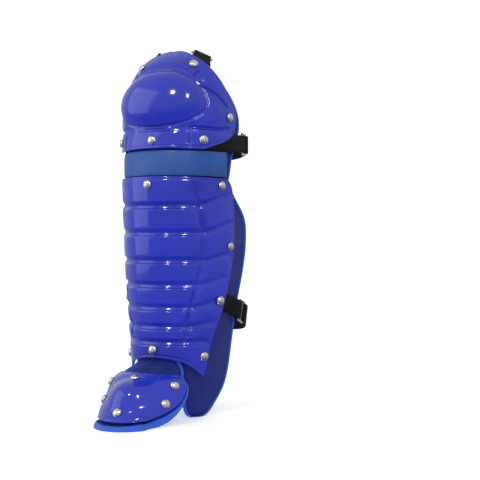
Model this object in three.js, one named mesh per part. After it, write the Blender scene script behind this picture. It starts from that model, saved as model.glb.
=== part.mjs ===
// A baseball catcher's leg guard that stands on its toe pad and on the two side wings of its liner.
// Units are millimetres, +Z is up and the guard faces -Y. All pieces are worked out round the leg's
// axis, and the whole guard is moved at the end so that its origin is the middle of its base.
// Angles go round the leg in degrees: 0 is the front, +90 the guard's +X side.
import * as THREE from "three";

// Heights, stacked from the floor up.
const ANKLE_HEIGHT = 84; // floor to the front lower edge of the shin shell
const SHIN_LENGTH = 247; // front height of the shin shell
const BAND_HEIGHT = 35; // satin band between shin and knee
const KNEE_LENGTH = 140; // front height of the knee shell
const BAND_GAP = 1.1; // clear height above and below the band

// The oval that the foam lies on, at its largest.
const LEG_FRONT = 97; // leg axis to the foam's front face
const LEG_SIDE = 77.4; // leg axis to the foam's side face
const LEG_BACK = 95; // rear half axis of the oval, which the wings follow

// Walls.
const SHELL_WALL = 3;
const BAND_WALL = 3.2;
const LINER_FOAM = 8;
const KNEE_FOAM = 9;
const TOE_FOAM = 8;
const TOE_TONGUE = 2; // the toe pad's foam where it is tucked behind the shin shell
const TUCK = 9.6; // how far the liner's top lies inside the oval, behind the knee pad
const SEAM_GAP = 0.4; // clearance between pieces that touch
const BINDING_WIDTH = 4.2; // edge binding, beyond the foam
const TOE_ROLL = 7.2; // the same round the toes, where it is a fat roll
const BINDING_GAP = 1.3; // between the foam's edge and the binding
const BINDING_LAP = 0.7; // binding thickness over each face of the foam

// Relief of the hard shells.
const SHELL_STAND_OFF = 5.4; // foam to the inner face of a rib's crest
const SIDE_STAND_OFF = 4.9; // the same at the side flanges, where the straps tuck in
const KNEE_STAND_OFF = 5.2;
const RIB_DEPTH = 4.5; // depth of the grooves between the shin ribs
const RIB_GROOVE_HALF = 5.5;
const KNEE_DOME_RISE = 13.5;
const KNEE_GROOVE_DEPTH = 4.2;
const TOE_DOME_RISE = 11;
const TOE_LIP_DROP = 7.6; // the pad's front edge above the floor, less than TOE_ROLL
const TOE_CREASE = 1.1;
const FLANGE_WIDTH = 9; // flat margin of the shells, in degrees round the leg

// Toe cap, from the leg's axis.
const TOE_REACH = 190; // to the front edge of the toe shell
const TOE_HALF_WIDTH = 61;
const TOE_HEIGHT = 0.786 * ANKLE_HEIGHT; // top edge of the toe shell above the floor
const TOE_ROOT = 0.75 * LEG_FRONT; // where the instep starts, ahead of the leg's axis

// Hardware.
const RIVET_RADIUS = 6.1;
const RIVET_HEIGHT = 3.2;
const WEBBING_WIDTH = 25;
const WEBBING_THICK = 2.2;
const SLIDE_WIRE = 2.4;
const SLIDE_LENGTH = 17; // along the strap
const SLIDE_TAIL = 5; // webbing folded back beyond a slide's bar

const SHIN_TOP = ANKLE_HEIGHT + SHIN_LENGTH;
const BAND_FOOT = SHIN_TOP + BAND_GAP;
const BAND_TOP = BAND_FOOT + BAND_HEIGHT;
const KNEE_FOOT = BAND_TOP + BAND_GAP;
const KNEE_TOP = KNEE_FOOT + KNEE_LENGTH;

const clamp01 = (t) => Math.min(1, Math.max(0, t));
const smooth = (from, to, x) => {
  const t = clamp01((x - from) / (to - from));
  return t * t * (3 - 2 * t);
};
const lerp = (a, b, t) => a + (b - a) * t;

// Reads a table as a smooth curve: rows are objects, at rises from row to row.
function readTable(rows, column, at, x) {
  const last = rows.length - 1;
  if (x <= rows[0][at]) return rows[0][column];
  if (x >= rows[last][at]) return rows[last][column];
  let i = 0;
  while (x > rows[i + 1][at]) i += 1;
  const [a, b] = [rows[i], rows[i + 1]];
  const slope = (j) => {
    const [p, q] = [rows[Math.max(0, j - 1)], rows[Math.min(last, j + 1)]];
    return (q[column] - p[column]) / (q[at] - p[at]);
  };
  const span = b[at] - a[at];
  const t = (x - a[at]) / span;
  const [t2, t3] = [t * t, t * t * t];
  return (
    (2 * t3 - 3 * t2 + 1) * a[column] +
    (t3 - 2 * t2 + t) * span * slope(i) +
    (3 * t2 - 2 * t3) * b[column] +
    (t3 - t2) * span * slope(i + 1)
  );
}

// The foam's outer face. height is a share of the whole height, front and side are shares of
// LEG_FRONT and LEG_SIDE, and square is the exponent of the oval: 2 is an ellipse.
const LEG_SECTIONS = [
  { height: 0.0, front: 0.8, side: 0.8, square: 2.0 },
  { height: 0.11, front: 0.825, side: 0.835, square: 2.0 },
  { height: 0.186, front: 0.85, side: 0.87, square: 2.0 },
  { height: 0.317, front: 0.893, side: 0.94, square: 2.0 },
  { height: 0.462, front: 0.949, side: 0.99, square: 2.0 },
  { height: 0.62, front: 1.0, side: 0.99, square: 2.05 },
  { height: 0.685, front: 0.97, side: 0.99, square: 2.2 },
  { height: 0.75, front: 0.878, side: 0.985, square: 2.45 },
  { height: 0.812, front: 0.862, side: 1.0, square: 2.5 },
  { height: 0.861, front: 0.821, side: 0.975, square: 2.5 },
  { height: 0.92, front: 0.699, side: 0.875, square: 2.4 },
  { height: 0.957, front: 0.546, side: 0.775, square: 2.3 },
  { height: 0.98, front: 0.42, side: 0.69, square: 2.2 },
  { height: 1.0, front: 0.27, side: 0.59, square: 2.1 },
];

function foamPoint(angle, z) {
  const at = z / KNEE_TOP;
  const row = (column) => readTable(LEG_SECTIONS, column, "height", at);
  const power = 2 / row("square");
  const turn = THREE.MathUtils.degToRad(angle);
  const [s, c] = [Math.sin(turn), Math.cos(turn)];
  const side = LEG_SIDE * row("side") * Math.sign(s);
  if (c < 0) return new THREE.Vector3(side * Math.abs(s), -LEG_BACK * c, z);
  const front = LEG_FRONT * row("front");
  return new THREE.Vector3(
    side * Math.abs(s) ** power,
    -front * c ** power,
    z,
  );
}

// Outward direction of any surface given as a function of two numbers.
function outward(surface, a, b, step = 0.4) {
  const alongA = surface(a + step, b).sub(surface(a - step, b));
  const alongB = surface(a, b + step).sub(surface(a, b - step));
  return alongA.cross(alongB).normalize();
}

// A point at a distance outside the foam's face.
function offFoam(angle, z, distance) {
  const away = outward(foamPoint, angle, z);
  return foamPoint(angle, z).addScaledVector(away, distance);
}

// A closed mesh from a grid of outer points and a grid of inner points, rows of equal length.
function solidFromFaces(outer, inner) {
  const [rows, columns] = [outer.length, outer[0].length];
  const points = [...outer.flat(), ...inner.flat()];
  const half = rows * columns;
  const id = (r, c, side) => side * half + r * columns + c;
  const faces = [];
  const quad = (a, b, c, d) => {
    const straight = points[a].distanceTo(points[c]);
    if (straight <= points[b].distanceTo(points[d])) faces.push(a, b, c, a, c, d);
    else faces.push(a, b, d, b, c, d);
  };
  for (let r = 0; r < rows - 1; r += 1) {
    for (let c = 0; c < columns - 1; c += 1) {
      quad(id(r, c, 0), id(r, c + 1, 0), id(r + 1, c + 1, 0), id(r + 1, c, 0));
      quad(id(r, c, 1), id(r + 1, c, 1), id(r + 1, c + 1, 1), id(r, c + 1, 1));
    }
  }
  rimOf(rows, columns).forEach(([r, c], k, rim) => {
    const [r2, c2] = rim[(k + 1) % rim.length];
    quad(id(r2, c2, 0), id(r, c, 0), id(r, c, 1), id(r2, c2, 1));
  });
  return meshGeometry(points, faces);
}

// The cells round the rim of a grid, anticlockwise seen from outside.
function rimOf(rows, columns) {
  const rim = [];
  for (let c = 0; c < columns - 1; c += 1) rim.push([0, c]);
  for (let r = 0; r < rows - 1; r += 1) rim.push([r, columns - 1]);
  for (let c = columns - 1; c > 0; c -= 1) rim.push([rows - 1, c]);
  for (let r = rows - 1; r > 0; r -= 1) rim.push([r, 0]);
  return rim;
}

function meshGeometry(points, faces) {
  const geometry = new THREE.BufferGeometry();
  const flat = new Float32Array(points.flatMap((p) => [p.x, p.y, p.z]));
  geometry.setAttribute("position", new THREE.BufferAttribute(flat, 3));
  geometry.setIndex(faces);
  geometry.computeVertexNormals();
  return geometry;
}

// A ribbon or tube: closed sections of equal length, joined in order. A loop joins its ends too.
function loft(sections, loop = false) {
  const [count, size] = [sections.length, sections[0].length];
  const points = sections.flat();
  const faces = [];
  const joints = loop ? count : count - 1;
  for (let i = 0; i < joints; i += 1) {
    for (let k = 0; k < size; k += 1) {
      const [a, b] = [i * size + k, i * size + ((k + 1) % size)];
      const next = ((i + 1) % count) * size;
      const [c, d] = [next + ((k + 1) % size), next + k];
      faces.push(a, b, c, a, c, d);
    }
  }
  if (!loop) {
    const lid = points.length - size;
    for (let k = 1; k < size - 1; k += 1) {
      faces.push(0, k + 1, k, lid, lid + k, lid + k + 1);
    }
  }
  return meshGeometry(points, faces);
}

// A moulded or padded sheet: surface(u, v) is its outer face with u and v from the given lists,
// and wall its thickness. The inner face is the outer one moved in along its normals.
function sheetFaces(surface, us, vs, wall) {
  const outer = vs.map((v) => us.map((u) => surface(u, v)));
  const inner = outer.map((row, r) =>
    row.map((point, c) => {
      const drop = typeof wall === "function" ? wall(us[c], vs[r]) : wall;
      return point.clone().addScaledVector(gridNormal(outer, r, c), -drop);
    }),
  );
  return { outer, inner };
}

// Mean normal of the grid cells that meet at a point, each from its two diagonals.
function gridNormal(grid, r, c) {
  const normal = new THREE.Vector3();
  [r - 1, r].forEach((low) =>
    [c - 1, c].forEach((left) => {
      if (!grid[low]?.[left + 1] || !grid[low + 1]?.[left]) return;
      const rising = grid[low + 1][left + 1].clone().sub(grid[low][left]);
      const falling = grid[low + 1][left].clone().sub(grid[low][left + 1]);
      normal.add(rising.cross(falling));
    }),
  );
  return normal.normalize();
}

// Nothing reaches below the floor: foam and binding are pressed flat there.
const onFloor = (point) => point.setZ(Math.max(0, point.z));

// Edge binding round a sheet's rim: a soft-cornered strip that stands off the foam's edge.
// Where it is wider than BINDING_WIDTH it also turns down towards the floor.
function bindingGeometry({ outer, inner }, widthAt = () => BINDING_WIDTH) {
  const rim = rimOf(outer.length, outer[0].length);
  const at = (grid, k) => {
    const [r, c] = rim[(k + rim.length) % rim.length];
    return grid[r][c];
  };
  const sections = rim.map((cell, k) => {
    const middle = at(outer, k).clone().add(at(inner, k)).multiplyScalar(0.5);
    const across = at(outer, k).clone().sub(at(inner, k));
    const half = across.length() / 2 + BINDING_LAP;
    const up = across.normalize();
    const width = widthAt(middle);
    const gap = (BINDING_GAP * width) / BINDING_WIDTH;
    const before = at(outer, k - 1).clone().add(at(inner, k - 1)).multiplyScalar(0.5);
    const after = at(outer, k + 1).clone().add(at(inner, k + 1)).multiplyScalar(0.5);
    const into = middle.clone().sub(before).normalize();
    const out = after.sub(middle).normalize();
    const sharpest = Math.min(1, (0.72 * width) / BINDING_WIDTH); // a fat roll keeps its corners round
    const corner = Math.max(sharpest, Math.sqrt((1 + into.dot(out)) / 2));
    const away = into.add(out).normalize().cross(up).normalize();
    away.lerp(new THREE.Vector3(0, 0, -1), 0.7 * (width / BINDING_WIDTH - 1)).normalize();
    const place = (reach, lift) =>
      onFloor(
        middle
          .clone()
          .addScaledVector(away, reach / corner)
          .addScaledVector(up, lift * half),
      );
    return [
      place(width * 0.6, 1),
      place(width, 0.55),
      place(width, -0.55),
      place(width * 0.6, -1),
      place(gap, -1),
      place(gap, 1),
    ];
  });
  return loft(sections, true);
}

// Materials.
const material = (color, roughness, metalness = 0) =>
  new THREE.MeshStandardMaterial({ color, roughness, metalness });
const GLOSS_BLUE = material(0x2a35c4, 0.12);
const SATIN_BLUE = material(0x2456a4, 0.38);
const NAVY_NYLON = material(0x1c2a86, 0.75);
const BRIGHT_BINDING = material(0x2f62d8, 0.6);
const PLATED = material(0xd9d3c6, 0.18, 1);
const BLACK_WEBBING = material(0x111113, 0.85);

const guard = new THREE.Group();
function add(name, geometry, finish) {
  const mesh = new THREE.Mesh(geometry, finish);
  mesh.name = name;
  guard.add(mesh);
  return mesh;
}

// Evenly spaced shares from a to b.
const steps = (a, b, count) =>
  Array.from({ length: count + 1 }, (unused, i) => lerp(a, b, i / count));

// A grid of angles and heights for a piece whose side edge follows a table. rise is a share of
// the piece's side height, angle is in degrees, and foot and head give the height of the lower
// and upper edge at a share u of the half width.
function outlineMap(edge, foot, head) {
  const [low, high] = [edge[0].rise, edge[edge.length - 1].rise];
  return (u, v) => {
    const reach = readTable(edge, "angle", "rise", lerp(low, high, v));
    const base = Math.min(reach, edge[0].angle);
    const angle = u * (base + (reach - base) * u ** 4); // the middle keeps its lines upright
    return [angle, lerp(foot(Math.abs(u)), head(Math.abs(u)), v)];
  };
}

// Shin shell: ribs across the front, each groove rising towards the side edges.

// front and side are the groove's heights as shares of SHIN_LENGTH above the shell's front foot.
const SHIN_GROOVES = [
  { front: 0.085, side: 0.092 },
  { front: 0.172, side: 0.207 },
  { front: 0.279, side: 0.333 },
  { front: 0.404, side: 0.463 },
  { front: 0.539, side: 0.594 },
  { front: 0.693, side: 0.774 },
  { front: 0.842, side: 0.925 },
];
// Where the upright groove beside the front panel runs, against the same heights.
const SHIN_PANEL = [
  { height: 0.0, angle: 33 },
  { height: 0.12, angle: 33.7 },
  { height: 0.21, angle: 35.4 },
  { height: 0.32, angle: 40.6 },
  { height: 0.43, angle: 46.3 },
  { height: 0.55, angle: 50.6 },
  { height: 0.7, angle: 50.6 },
  { height: 0.84, angle: 44.5 },
  { height: 1.0, angle: 42 },
];
// Half angle of the shell's side edge. height is measured at the edge itself.
const SHIN_EDGE = [
  { height: -0.113, angle: 53 },
  { height: -0.085, angle: 55.5 },
  { height: 0.045, angle: 58.5 },
  { height: 0.32, angle: 74.5 },
  { height: 0.62, angle: 84 },
  { height: 0.9, angle: 83 },
  { height: 0.97, angle: 80 },
  { height: 0.993, angle: 76 },
];
const SHIN_SIDE_FOOT = SHIN_EDGE[0].height;
const SHIN_SIDE_HEAD = SHIN_EDGE[SHIN_EDGE.length - 1].height;

// The rows of the shell's grid: front and side heights of each line, with the depth of its groove.
function shinRows() {
  const half = RIB_GROOVE_HALF / SHIN_LENGTH;
  const rows = [{ front: 0, side: SHIN_SIDE_FOOT, depth: 0.08 }];
  rows.push({ front: 0.03, side: lerp(SHIN_SIDE_FOOT, 0.1, 0.3), depth: 0 });
  SHIN_GROOVES.forEach(({ front, side }, i) => {
    const next = SHIN_GROOVES[i + 1] ?? { front: 1, side: SHIN_SIDE_HEAD };
    rows.push({ front: front - half, side: side - half, depth: 0 });
    rows.push({ front, side, depth: 1 });
    rows.push({ front: front + half, side: side + half, depth: 0.08 });
    const middle = { front: (front + next.front) / 2, side: (side + next.side) / 2 };
    rows.push({ ...middle, depth: -0.18 });
  });
  rows.push({ front: 0.985, side: SHIN_SIDE_HEAD - 0.012, depth: 0 });
  rows.push({ front: 1, side: SHIN_SIDE_HEAD, depth: 0.3 });
  return rows;
}

// Columns of the shell's grid: share 1 is the upright groove, 2 the side edge.
const SHIN_COLUMNS = [0, 0.3, 0.6, 0.88, 1, 1.12, 1.4, 1.72, 2];

function shinShell() {
  const rows = shinRows();
  const columns = [...SHIN_COLUMNS.slice(1).reverse().map((c) => -c), ...SHIN_COLUMNS];
  const surface = (column, r) => {
    const share = Math.abs(column);
    const { front, side, depth } = rows[r];
    const panel = readTable(SHIN_PANEL, "angle", "height", front);
    const edge = readTable(SHIN_EDGE, "angle", "height", side);
    const outside = clamp01(share - 1);
    const angle = share < 1 ? panel * share : lerp(panel, edge, outside);
    const drop = r < 2 ? share / 2 : 0; // the lowest lines fall from the front to the side tips
    const lift = r < 2 ? drop ** 2 : outside ** 1.4;
    const z = ANKLE_HEIGHT + SHIN_LENGTH * lerp(front, side, lift);
    const flange = smooth(edge, edge - FLANGE_WIDTH, angle);
    const upright = front > 0.09 && front < 0.93 ? Math.exp(-(((share - 1) / 0.09) ** 2)) : 0;
    const groove = Math.max(depth * lerp(1, 0.7, outside), 0.85 * upright) * flange;
    const standOff = lerp(SHELL_STAND_OFF, SIDE_STAND_OFF, outside);
    const reach = standOff + SHELL_WALL - RIB_DEPTH * groove;
    return offFoam(Math.sign(column) * angle, z, reach);
  };
  return sheetFaces(surface, columns, rows.map((row, r) => r), SHELL_WALL);
}
const shinFaces = shinShell();
add("shin_shell", solidFromFaces(shinFaces.outer, shinFaces.inner), GLOSS_BLUE);

// Middle band.
const BAND_ANGLE = 78;
const bandSurface = (u, v) =>
  offFoam(
    u * BAND_ANGLE,
    lerp(BAND_FOOT, BAND_TOP, v),
    SEAM_GAP + 1.6 + BAND_WALL - 1.6 * (2 * v - 1) ** 4,
  );
const bandFaces = sheetFaces(bandSurface, steps(-1, 1, 16), [0, 0.14, 0.86, 1], BAND_WALL);
add("middle_band", solidFromFaces(bandFaces.outer, bandFaces.inner), SATIN_BLUE);

// Knee shell: a dome between two cheeks, an arched rib over it and a strip below it.

// rise is the height of the side edge as a share of KNEE_LENGTH above the shell's front foot.
const KNEE_EDGE = [
  { rise: 0.0, angle: 50 },
  { rise: 0.045, angle: 61 },
  { rise: 0.085, angle: 74 },
  { rise: 0.14, angle: 82.5 },
  { rise: 0.2, angle: 85.5 },
  { rise: 0.29, angle: 88 },
  { rise: 0.39, angle: 88 },
  { rise: 0.5, angle: 84 },
  { rise: 0.68, angle: 72.5 },
  { rise: 0.8, angle: 60 },
  { rise: 0.86, angle: 51 },
  { rise: 0.905, angle: 40 },
];
const KNEE_SIDE_HEAD = KNEE_EDGE[KNEE_EDGE.length - 1].rise;
const KNEE_DOME = { middle: 0.47, up: 0.3, down: 0.235, angle: 51 };
const KNEE_STRIP = 0.215; // groove between the dome and the lower strip
const KNEE_STRIP_SPLIT = 34.6; // upright grooves in the strip, degrees
const KNEE_RIDGES = [
  // The creases that run from the dome's upper corner to the shoulder and to the side rivet.
  { fromAngle: 35.5, fromRise: 0.69, toAngle: 45, toRise: 0.77 },
  { fromAngle: 42.5, fromRise: 0.63, toAngle: 80, toRise: 0.41 },
];
const DEGREE = 1.35; // millimetres per degree round the knee, for distances between creases

function creaseDistance(angle, rise, { fromAngle, fromRise, toAngle, toRise }) {
  const p = new THREE.Vector2(angle * DEGREE, rise * KNEE_LENGTH);
  const a = new THREE.Vector2(fromAngle * DEGREE, fromRise * KNEE_LENGTH);
  const b = new THREE.Vector2(toAngle * DEGREE, toRise * KNEE_LENGTH);
  const along = b.clone().sub(a);
  const t = clamp01(p.clone().sub(a).dot(along) / along.lengthSq());
  return p.distanceTo(a.addScaledVector(along, t));
}

// Relief of the knee shell outside its plain form, in millimetres.
function kneeRelief(angle, rise) {
  const across = Math.abs(angle);
  const { middle, up, down } = KNEE_DOME;
  const tall = (rise - middle) / (rise > middle ? up : down);
  const ring = Math.hypot(across / KNEE_DOME.angle, tall);
  const dome = KNEE_DOME_RISE * Math.sqrt(Math.max(0, 1 - ring ** 2)) ** 1.15;
  const valley = (distance, width) => Math.exp(-((distance / width) ** 2));
  const inStrip = rise < KNEE_STRIP;
  const grooves = [
    inStrip ? 0 : valley((ring - 1.03) * 42, 5),
    valley((rise - KNEE_STRIP) * KNEE_LENGTH, 4),
    inStrip ? valley((across - KNEE_STRIP_SPLIT) * DEGREE, 4) : 0,
    ...KNEE_RIDGES.map((ridge) => valley(creaseDistance(across, rise, ridge), 4.5)),
  ];
  return (inStrip ? 0 : dome) - KNEE_GROOVE_DEPTH * Math.max(...grooves);
}

const KNEE_ROWS = [
  0, 0.03, 0.09, 0.17, 0.215, 0.26, 0.33, 0.41, 0.5, 0.59, 0.67, 0.73, 0.775, 0.83, 0.89, 0.95, 1,
];
function kneeShell() {
  const edgeLow = KNEE_EDGE[0].rise;
  const surface = (u, v) => {
    const side = lerp(edgeLow, KNEE_SIDE_HEAD, v);
    const edge = readTable(KNEE_EDGE, "angle", "rise", side);
    const rise = lerp(v, side, Math.abs(u) ** 2);
    const angle = u * edge;
    const margin = Math.min((1 - Math.abs(u)) * edge, (1 - v) * 70, v * 90);
    const flat = smooth(0, FLANGE_WIDTH * 0.8, margin);
    const reach = lerp(SIDE_STAND_OFF, KNEE_STAND_OFF, flat) + SHELL_WALL;
    return offFoam(angle, KNEE_FOOT + rise * KNEE_LENGTH, reach + kneeRelief(angle, rise) * flat);
  };
  const us = [0, 0.13, 0.26, 0.38, 0.49, 0.58, 0.67, 0.77, 0.88, 0.955, 1];
  const columns = [...us.slice(1).reverse().map((u) => -u), ...us];
  return sheetFaces(surface, columns, KNEE_ROWS, SHELL_WALL);
}
const kneeFaces = kneeShell();
add("knee_shell", solidFromFaces(kneeFaces.outer, kneeFaces.inner), GLOSS_BLUE);

// Knee pad: foam behind the knee shell and the band, its foot tucked under the shin shell.
const PAD_LAP = 18; // how far the pad's foot runs below the shin shell's top edge
const PAD_PEEK = 3; // how far its top stands above the knee shell
const PAD_FOOT = SHIN_TOP - PAD_LAP;
const PAD_HEAD = KNEE_TOP + PAD_PEEK - BINDING_WIDTH;
// rise is a share of the pad's side height, from its foot to its head.
const PAD_EDGE = [
  { rise: 0.0, angle: 75 },
  { rise: 0.08, angle: 81 },
  { rise: 0.18, angle: 84 },
  { rise: 0.28, angle: 87 },
  { rise: 0.36, angle: 92 },
  { rise: 0.45, angle: 98 },
  { rise: 0.53, angle: 100 },
  { rise: 0.62, angle: 97 },
  { rise: 0.72, angle: 89 },
  { rise: 0.82, angle: 78 },
  { rise: 0.91, angle: 64 },
  { rise: 0.97, angle: 51 },
  { rise: 1.0, angle: 41 },
];
const padMap = outlineMap(
  PAD_EDGE,
  () => PAD_FOOT,
  (u) => PAD_HEAD - 11 * u * u,
);
const padSurface = (u, v) => {
  const [angle, z] = padMap(u, v);
  return foamPoint(angle, z);
};
const padWall = (u, v) => lerp(TUCK - 2.6, KNEE_FOAM, smooth(0.08, 0.25, v));
const PAD_ROWS = [0, 0.08, 0.18, 0.28, 0.36, 0.45, 0.53, 0.62, 0.72, 0.82, 0.9, 0.96, 1];
const padFaces = sheetFaces(padSurface, steps(-1, 1, 16), PAD_ROWS, padWall);
add("knee_pad", solidFromFaces(padFaces.outer, padFaces.inner), NAVY_NYLON);
add("knee_pad_binding", bindingGeometry(padFaces), BRIGHT_BINDING);

// Leg liner: foam round the shin with a wing each side that comes down to the floor.
const LINER_HEAD = SHIN_TOP + 10;
const LINER_ARCH = ANKLE_HEIGHT + 12; // lower edge over the instep
// Lower edge: across is a share of the lower edge's half angle, height a share of LINER_ARCH.
const LINER_FOOT = [
  { across: 0.0, height: 1.0 },
  { across: 0.36, height: 1.0 },
  { across: 0.41, height: 0.76 },
  { across: 0.45, height: 0.36 },
  { across: 0.49, height: 0.09 },
  { across: 0.54, height: 0.02 },
  { across: 0.74, height: 0.02 },
  { across: 0.83, height: 0.08 },
  { across: 0.92, height: 0.19 },
  { across: 1.0, height: 0.28 },
];
// Side edge: rise is a share of the height from the lower corner to the head.
const LINER_EDGE = [
  { rise: 0.0, angle: 76 },
  { rise: 0.05, angle: 87 },
  { rise: 0.13, angle: 92.5 },
  { rise: 0.22, angle: 95 },
  { rise: 0.36, angle: 98.5 },
  { rise: 0.5, angle: 103 },
  { rise: 0.62, angle: 108 },
  { rise: 0.72, angle: 112 },
  { rise: 0.8, angle: 109 },
  { rise: 0.88, angle: 100 },
  { rise: 0.94, angle: 90 },
  { rise: 1.0, angle: 81 },
];
const WING_FLARE = 6; // how far the wings stand out beyond the oval, at their widest
const linerMap = outlineMap(
  LINER_EDGE,
  (u) => LINER_ARCH * readTable(LINER_FOOT, "height", "across", u),
  () => LINER_HEAD,
);
const linerSurface = (u, v) => {
  const [angle, z] = linerMap(u, v);
  const tuck = TUCK * smooth(PAD_FOOT - 38, PAD_FOOT - 10, z);
  const flare = WING_FLARE * smooth(84, 112, Math.abs(angle)) * smooth(0.27, 0.42, z / KNEE_TOP);
  return offFoam(angle, z, flare - tuck);
};
const LINER_ROWS = [
  0, 0.05, 0.13, 0.22, 0.33, 0.44, 0.54, 0.63, 0.72, 0.8, 0.87, 0.94, 1,
];
const LINER_COLUMNS = [0, 0.18, 0.3, 0.36, 0.41, 0.45, 0.49, 0.54, 0.64, 0.74, 0.83, 0.92, 1];
const linerColumns = [...LINER_COLUMNS.slice(1).reverse().map((u) => -u), ...LINER_COLUMNS];
const linerFaces = sheetFaces(linerSurface, linerColumns, LINER_ROWS, LINER_FOAM);
[...linerFaces.outer.flat(), ...linerFaces.inner.flat()].forEach(onFloor);
add("leg_liner", solidFromFaces(linerFaces.outer, linerFaces.inner), NAVY_NYLON);
add("leg_liner_binding", bindingGeometry(linerFaces), BRIGHT_BINDING);

// Toe: rows run from the instep to the toes. y is a share of the way from TOE_ROOT to TOE_REACH,
// z a share of TOE_HEIGHT, x a share of TOE_HALF_WIDTH; mid is the centre line, side the edge.
const TOE_SHELL_ROWS = [
  { v: 0.0, midY: 0.387, midZ: 1.0, x: 0.75, sideY: 0.219, sideZ: 0.97 },
  { v: 0.12, midY: 0.468, midZ: 0.965, x: 0.92, sideY: 0.237, sideZ: 0.864 },
  { v: 0.28, midY: 0.571, midZ: 0.871, x: 1.0, sideY: 0.271, sideZ: 0.712 },
  { v: 0.46, midY: 0.674, midZ: 0.697, x: 1.0, sideY: 0.330, sideZ: 0.545 },
  { v: 0.64, midY: 0.777, midZ: 0.515, x: 0.95, sideY: 0.434, sideZ: 0.4 },
  { v: 0.82, midY: 0.879, midZ: 0.33, x: 0.836, sideY: 0.605, sideZ: 0.28 },
  { v: 1.0, midY: 1.000, midZ: 0.17, x: 0.607, sideY: 0.819, sideZ: 0.17 },
];
// The instep tongue, above and behind the shell, that joins the toe pad to the liner.
const TOE_TONGUE_ROWS = [
  { v: -0.42, midY: 0.101, midZ: 1.27, x: 0.405, sideY: -0.003, sideZ: 1.24 },
  { v: -0.3, midY: 0.123, midZ: 1.19, x: 0.47, sideY: 0.021, sideZ: 1.12 },
  { v: -0.15, midY: 0.250, midZ: 1.08, x: 0.66, sideY: 0.111, sideZ: 1.02 },
];

// The lip of the pad, below the shell's front edge.
const LIP_SHARE = TOE_LIP_DROP / TOE_HEIGHT;
const TOE_LIP_ROWS = [
  { v: 1.12, midY: 1.02, midZ: LIP_SHARE, x: 0.57, sideY: 0.85, sideZ: 0.15 },
];

function toePoint(rows, u, v) {
  const row = (column) => readTable(rows, column, "v", v);
  const bow = Math.abs(u) ** 2.5;
  return new THREE.Vector3(
    TOE_HALF_WIDTH * row("x") * u,
    -lerp(TOE_ROOT, TOE_REACH, lerp(row("midY"), row("sideY"), bow)),
    TOE_HEIGHT * lerp(row("midZ"), row("sideZ"), bow),
  );
}
const shellForm = (u, v) => toePoint(TOE_SHELL_ROWS, u, v);
const TOE_DOME = { middle: 0.52, tall: 0.33, wide: 0.62 };
function toeRelief(u, v) {
  const ring = Math.hypot(u / TOE_DOME.wide, (v - TOE_DOME.middle) / TOE_DOME.tall);
  const dome = TOE_DOME_RISE * smooth(1.05, 0.15, ring);
  const crease = Math.exp(-(((ring - 1.1) / 0.16) ** 2));
  return dome - TOE_CREASE * crease;
}
// The rows run forwards, so the outward side is the other way round from the leg's.
const toeOutward = (form, u, v) => outward(form, u, v, 0.01).negate();
const toeSurface = (u, v) =>
  shellForm(u, v).addScaledVector(toeOutward(shellForm, u, v), toeRelief(u, v));
const mirrored = (half) => [...half.slice(1).reverse().map((u) => -u), ...half];
const toeColumns = mirrored([0, 0.16, 0.32, 0.48, 0.62, 0.75, 0.88, 1]);
const TOE_ROW_STEPS = [1, 0.92, 0.82, 0.73, 0.64, 0.55, 0.46, 0.37, 0.28, 0.19, 0.1, 0];
const toeFaces = sheetFaces(toeSurface, toeColumns, TOE_ROW_STEPS, SHELL_WALL);
add("toe_shell", solidFromFaces(toeFaces.outer, toeFaces.inner), GLOSS_BLUE);

// Toe pad: the same form just inside the shell, wider by its lip, and the tongue behind it.
const TOE_LIP = 2.2;
const TOE_PAD_TABLE = [...TOE_TONGUE_ROWS, ...TOE_SHELL_ROWS, ...TOE_LIP_ROWS];
const padForm = (u, v) => toePoint(TOE_PAD_TABLE, u, v);
const toePadSurface = (u, v) => {
  const below = smooth(-0.16, 0, v) * (1 - smooth(1, 1.1, v));
  const under = (SHELL_WALL + TOE_CREASE + SEAM_GAP * (3 + 6 * smooth(0.7, 0.95, v))) * below;
  const point = padForm(u, v).addScaledVector(toeOutward(padForm, u, v), -under);
  const lip = TOE_LIP * smooth(-0.2, 0.1, v) * Math.abs(u) ** 6 * Math.sign(u);
  point.setX(point.x + lip);
  // The tongue's head follows the leg, midway between the liner and the shin shell.
  const turn = Math.asin(clamp01(Math.abs(point.x) / foamPoint(90, point.z).x)) * Math.sign(u);
  const behindShell = offFoam(THREE.MathUtils.radToDeg(turn), point.z, SHELL_STAND_OFF - 1.3);
  return point.lerp(behindShell, smooth(-0.1, -0.25, v));
};
const toePadWall = (u, v) => lerp(TOE_TONGUE, TOE_FOAM, smooth(-0.28, 0, v));
const TOE_PAD_ROWS = [1.12, 1, 0.91, 0.8, 0.66, 0.52, 0.38, 0.24, 0.12, 0, -0.13, -0.28, -0.42];
const toePadFaces = sheetFaces(toePadSurface, toeColumns, TOE_PAD_ROWS, toePadWall);
[...toePadFaces.outer.flat(), ...toePadFaces.inner.flat()].forEach(onFloor);
add("toe_pad", solidFromFaces(toePadFaces.outer, toePadFaces.inner), NAVY_NYLON);
const toeRoll = ({ z }) => lerp(TOE_ROLL, BINDING_WIDTH, smooth(0.35, 0.8, z / TOE_HEIGHT));
add("toe_pad_binding", bindingGeometry(toePadFaces, toeRoll), BRIGHT_BINDING);

// Rivets: domed heads that sit on the shells, seated on the highest point below them.
const RIVET_SIDES = 10;
function rivetGeometry() {
  const profile = [
    new THREE.Vector2(0, 0),
    new THREE.Vector2(RIVET_RADIUS, 0),
    new THREE.Vector2(RIVET_RADIUS * 0.72, RIVET_HEIGHT * 0.78),
    new THREE.Vector2(0, RIVET_HEIGHT),
  ];
  return new THREE.LatheGeometry(profile, RIVET_SIDES).rotateX(Math.PI / 2);
}

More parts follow.
